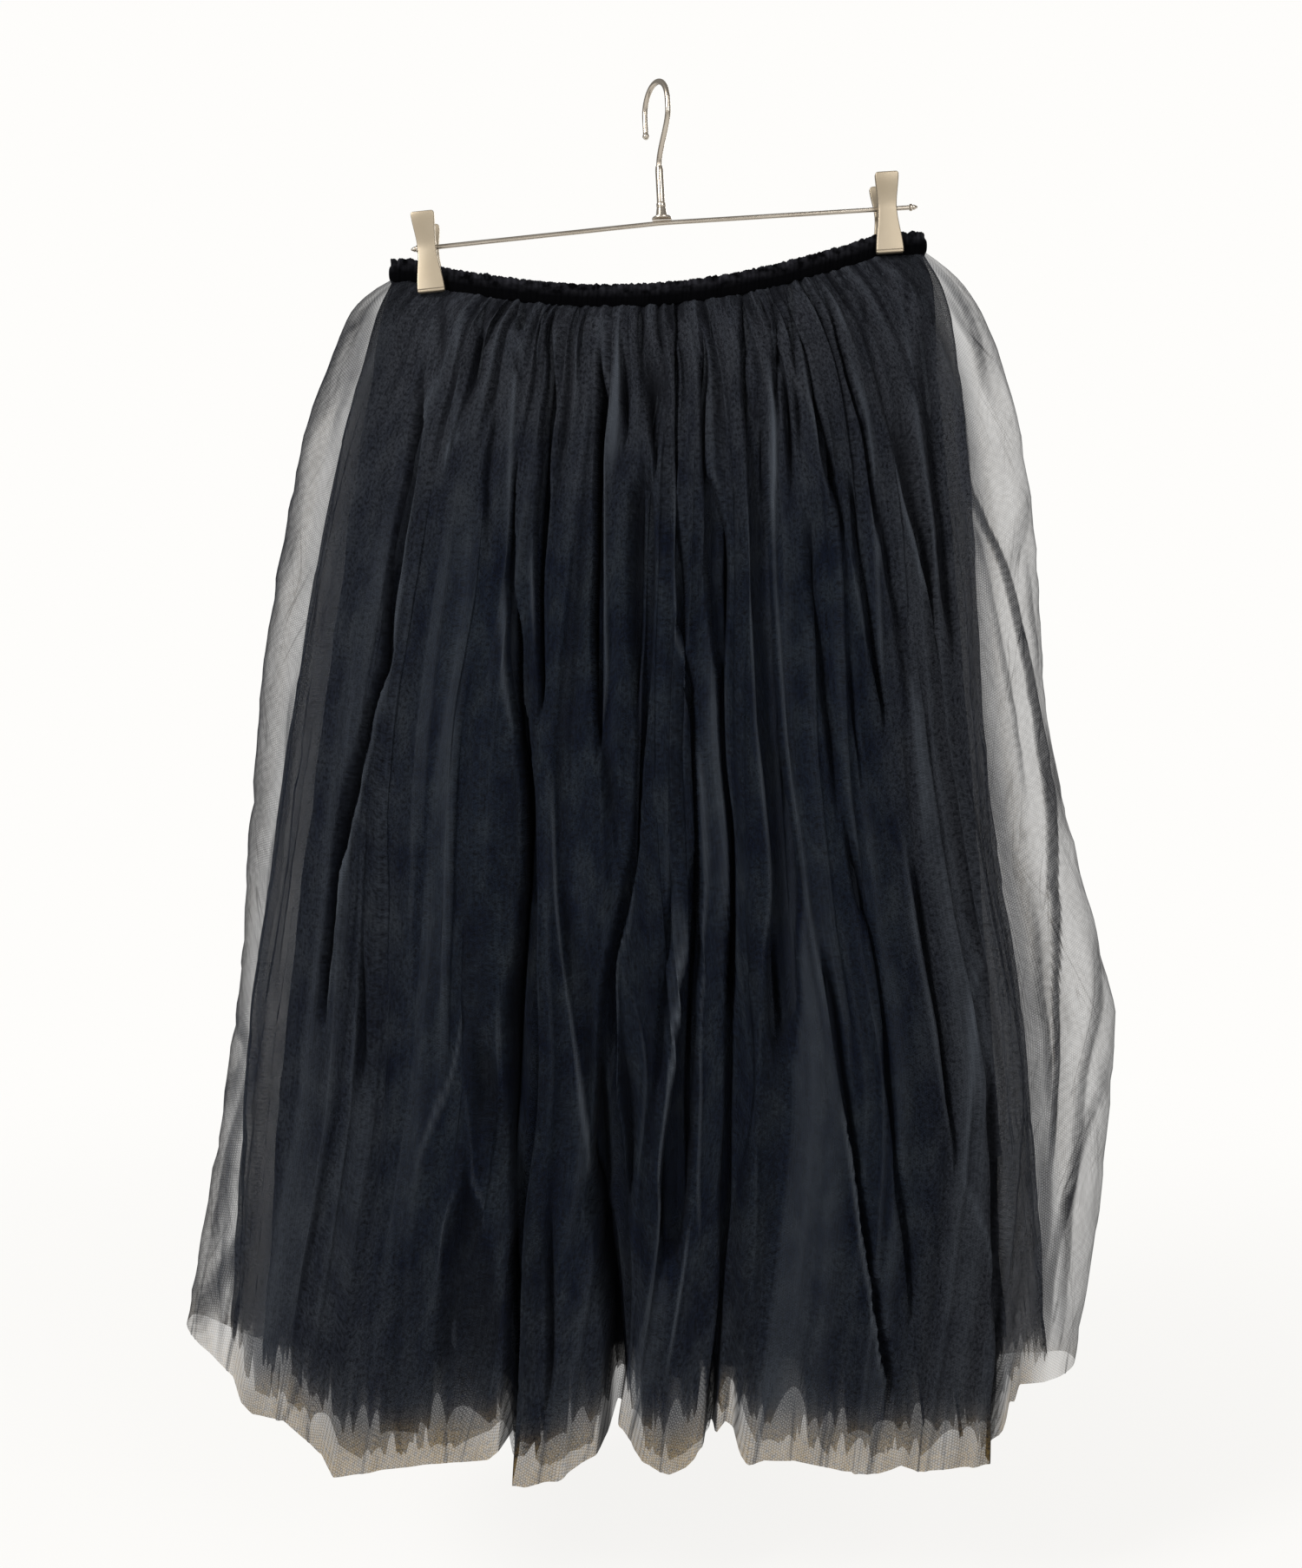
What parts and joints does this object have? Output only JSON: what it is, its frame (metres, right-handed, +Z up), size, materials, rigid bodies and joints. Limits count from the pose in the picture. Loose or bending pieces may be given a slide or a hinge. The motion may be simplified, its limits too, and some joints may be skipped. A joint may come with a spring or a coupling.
{
  "type": "tulle skirt on a clip hanger",
  "caption": "Gathered midi-length tulle skirt with a ruched elastic waistband and a shorter lining, hanging from a swivel-hook clip hanger.",
  "frame": {"origin": "inside of the hook's bend, where the hanger hangs on a rail", "axes": "+X to the wearer's left, which is the viewer's right from the front; -Y the way the skirt's front faces; +Z up"},
  "size_m": [0.659, 0.1951, 0.9459],
  "materials": {
    "tulle": "black nylon tulle, fine hexagonal net, soft and sheer in one layer",
    "waistband": "black tulle ruched over elastic, matt",
    "lining": "black polyester lining, faint sheen",
    "hanger_metal": "nickel plate, polished",
    "clip_metal": "satin nickel plate"
  },
  "bodies": {
    "root": {"waistband_front": "waistband", "waistband_back": "waistband", "outer_tulle_front": "tulle", "outer_tulle_back": "tulle", "middle_tulle_front": "tulle", "middle_tulle_back": "tulle", "inner_tulle_front": "tulle", "inner_tulle_back": "tulle", "lining_front": "lining", "lining_back": "lining", "hook_wire": "hanger_metal", "stem_tube": "hanger_metal", "centre_ferrule": "hanger_metal", "rod": "hanger_metal", "rod_finial_left": "hanger_metal", "rod_finial_right": "hanger_metal", "clip_left_front": "clip_metal", "clip_left_back": "clip_metal", "clip_left_spring": "hanger_metal", "clip_right_front": "clip_metal", "clip_right_back": "clip_metal", "clip_right_spring": "hanger_metal"}
  },
  "joints": []
}
